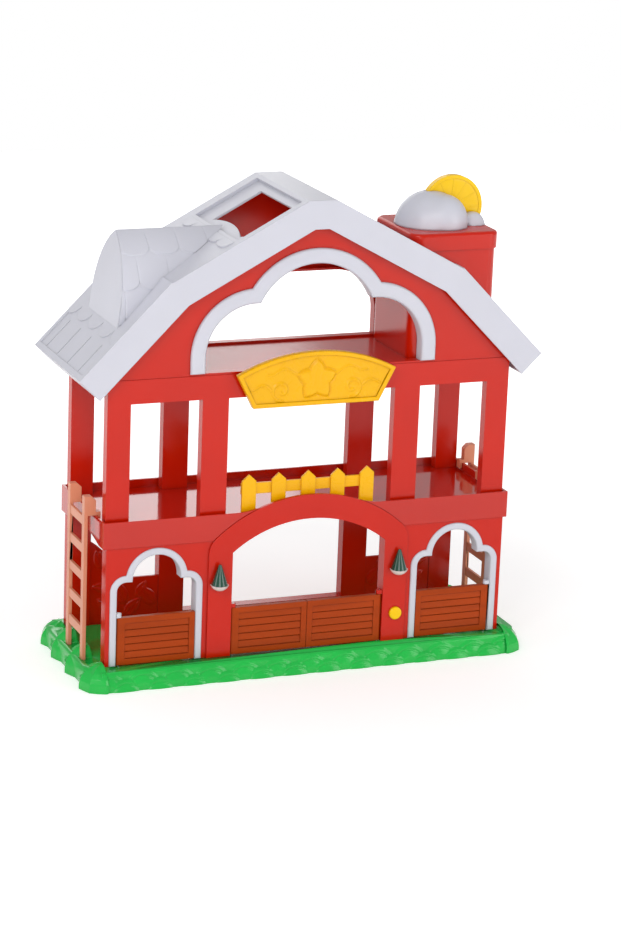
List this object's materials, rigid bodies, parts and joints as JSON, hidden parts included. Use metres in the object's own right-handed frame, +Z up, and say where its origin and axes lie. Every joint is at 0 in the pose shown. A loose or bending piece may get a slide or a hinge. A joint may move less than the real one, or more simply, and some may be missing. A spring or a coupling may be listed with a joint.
{
  "type": "toy barn",
  "caption": "Two-storey toy barn with hinged half-doors, arched doorways, open upper deck, loft under a gambrel roof, hook-on ladders and a turning sun on its tower.",
  "frame": {"origin": "centre of the base's underside, on the surface that the barn stands on", "axes": "+X to the right as seen from the front, +Y to the back, +Z up"},
  "size_m": [0.5414, 0.2, 0.5385],
  "materials": {
    "red": "glossy red moulded plastic",
    "green": "glossy green moulded plastic",
    "white": "satin white moulded plastic",
    "brown": "satin brown moulded plastic",
    "yellow": "glossy yellow moulded plastic",
    "tan": "satin tan moulded plastic",
    "dark_green": "glossy dark green plastic",
    "cream": "glossy pale plastic",
    "black": "matt black plastic",
    "board_green": "lacquered circuit board",
    "steel": "plain steel"
  },
  "bodies": {
    "barn": {"base_plate": "green", "base_screws": "steel", "front_wall": "red", "rear_wall": "red", "left_door_trim": "white", "right_door_trim": "white", "door_hinge_pins": "steel", "deck": "red", "picket_fence": "yellow", "front_gable_frame": "red", "rear_gable_frame": "red", "loft_floor": "red", "gable_trim": "white", "sign_board": "yellow", "roof": "white", "tower_box": "red", "tower_lid": "red", "cloud": "white", "left_lamp_shade": "dark_green", "left_lamp_bowl": "cream", "right_lamp_shade": "dark_green", "right_lamp_bowl": "cream", "button_spring": "steel", "sound_case": "black", "battery_door": "black", "battery_screw": "steel", "circuit_board": "board_green", "speaker": "black", "button_cells": "steel"},
    "left_side_door": {"left_side_door": "brown"},
    "centre_left_door": {"centre_left_door": "brown"},
    "centre_right_door": {"centre_right_door": "brown"},
    "right_side_door": {"right_side_door": "brown"},
    "sun": {"sun_disc": "yellow", "sun_axle": "steel"},
    "button": {"sound_button": "yellow"},
    "left_ladder": {"left_ladder": "tan"},
    "right_ladder": {"right_ladder": "tan"}
  },
  "joints": [
    {"name": "left_side_door_hinge", "type": "hinge", "parent": "barn", "child": "left_side_door", "pos_m": [-0.2199, -0.073, 0.05], "axis": [0, 0, 1], "range_deg": [-90, 0]},
    {"name": "centre_left_door_hinge", "type": "hinge", "parent": "barn", "child": "centre_left_door", "pos_m": [-0.0873, -0.073, 0.05], "axis": [0, 0, 1], "range_deg": [-90, 0]},
    {"name": "centre_right_door_hinge", "type": "hinge", "parent": "barn", "child": "centre_right_door", "pos_m": [0.0873, -0.073, 0.05], "axis": [0, 0, 1], "range_deg": [0, 90]},
    {"name": "right_side_door_hinge", "type": "hinge", "parent": "barn", "child": "right_side_door", "pos_m": [0.2199, -0.073, 0.05], "axis": [0, 0, 1], "range_deg": [0, 90]},
    {"name": "sun_spin", "type": "hinge", "parent": "barn", "child": "sun", "pos_m": [0.1865, 0, 0.5025], "axis": [0, 1, 0], "continuous": true},
    {"name": "button_press", "type": "slide", "parent": "barn", "child": "button", "axis": [0, 1, 0], "range_m": [0, 0.0025], "stiffness_N_per_m": 300, "springref_m": -0.001, "deforming": ["button_spring"]},
    {"name": "left_ladder_lift", "type": "slide", "parent": "barn", "child": "left_ladder", "axis": [0, 0, 1], "range_m": [0, 0.04]},
    {"name": "right_ladder_lift", "type": "slide", "parent": "barn", "child": "right_ladder", "axis": [0, 0, 1], "range_m": [0, 0.04]}
  ]
}
